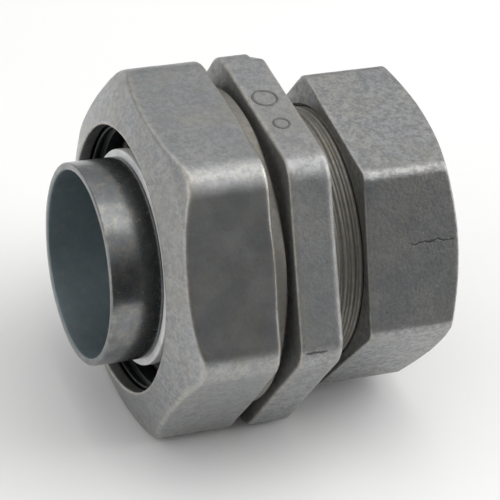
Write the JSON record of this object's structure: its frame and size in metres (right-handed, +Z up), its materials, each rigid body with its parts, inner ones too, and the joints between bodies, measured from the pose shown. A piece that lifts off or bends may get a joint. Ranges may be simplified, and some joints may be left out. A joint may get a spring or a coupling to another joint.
{
  "type": "conduit combination coupling",
  "caption": "Die-cast coupling joining liquidtight flexible conduit to thin-wall EMT, with a threaded hexagonal body and a compression gland nut at each end.",
  "frame": {"origin": "on the conduit axis, at the face of the wire stop that the EMT butts against", "axes": "+X along the conduit towards the EMT end, -X towards the liquidtight end, +Z up with a flat of the body's hexagon facing up and one facing down"},
  "size_m": [0.0457, 0.0486, 0.0432],
  "materials": {
    "cast_zinc_body": "satin as-cast zinc, lightly pitted",
    "cast_zinc_lt_nut": "satin tumbled zinc with worn bright corners",
    "cast_zinc_emt_nut": "coarse speckled as-cast zinc",
    "ferrule_steel": "drawn steel, semi-bright",
    "ring_steel": "zinc plated",
    "nylon_white": "natural nylon",
    "seal_dark": "dark green-black, satin",
    "rubber_black": "matt"
  },
  "bodies": {
    "coupling_body": {"body": "cast_zinc_body", "emt_sealing_ring": "rubber_black"},
    "lt_seal": {"lt_sealing_ring": "seal_dark"},
    "lt_nut": {"lt_gland_nut": "cast_zinc_lt_nut"},
    "ferrule": {"lt_ferrule": "ferrule_steel"},
    "stop_ring": {"lt_stop_ring": "nylon_white"},
    "emt_rings": {"emt_compression_ring": "ring_steel", "emt_slip_washer": "ring_steel"},
    "emt_nut": {"emt_gland_nut": "cast_zinc_emt_nut"}
  },
  "joints": [
    {"name": "lt_nut_travel", "type": "slide", "parent": "coupling_body", "child": "lt_seal", "axis": [-1, 0, 0], "range_m": [-0.0007, 0.0091]},
    {"name": "lt_nut_turn", "type": "hinge", "parent": "lt_seal", "child": "lt_nut", "pos_m": [-0.0144, 0, 0], "axis": [-1, 0, 0], "range_deg": [-230, 3060]},
    {"name": "ferrule_pull", "type": "slide", "parent": "coupling_body", "child": "ferrule", "axis": [-1, 0, 0], "range_m": [0, 0.006]},
    {"name": "stop_ring_push", "type": "slide", "parent": "ferrule", "child": "stop_ring", "axis": [1, 0, 0], "range_m": [0, 0.0149]},
    {"name": "emt_nut_travel", "type": "slide", "parent": "coupling_body", "child": "emt_rings", "axis": [1, 0, 0], "range_m": [-0.002, 0.0034]},
    {"name": "emt_nut_turn", "type": "hinge", "parent": "emt_rings", "child": "emt_nut", "pos_m": [0.0118, 0, 0], "axis": [1, 0, 0], "range_deg": [-670, 1150]}
  ],
  "couplings": [
    {"joint": "lt_nut_travel", "follows": "lt_nut_turn", "m_per_rad": 0.00016839},
    {"joint": "emt_nut_travel", "follows": "emt_nut_turn", "m_per_rad": 0.00016839}
  ]
}
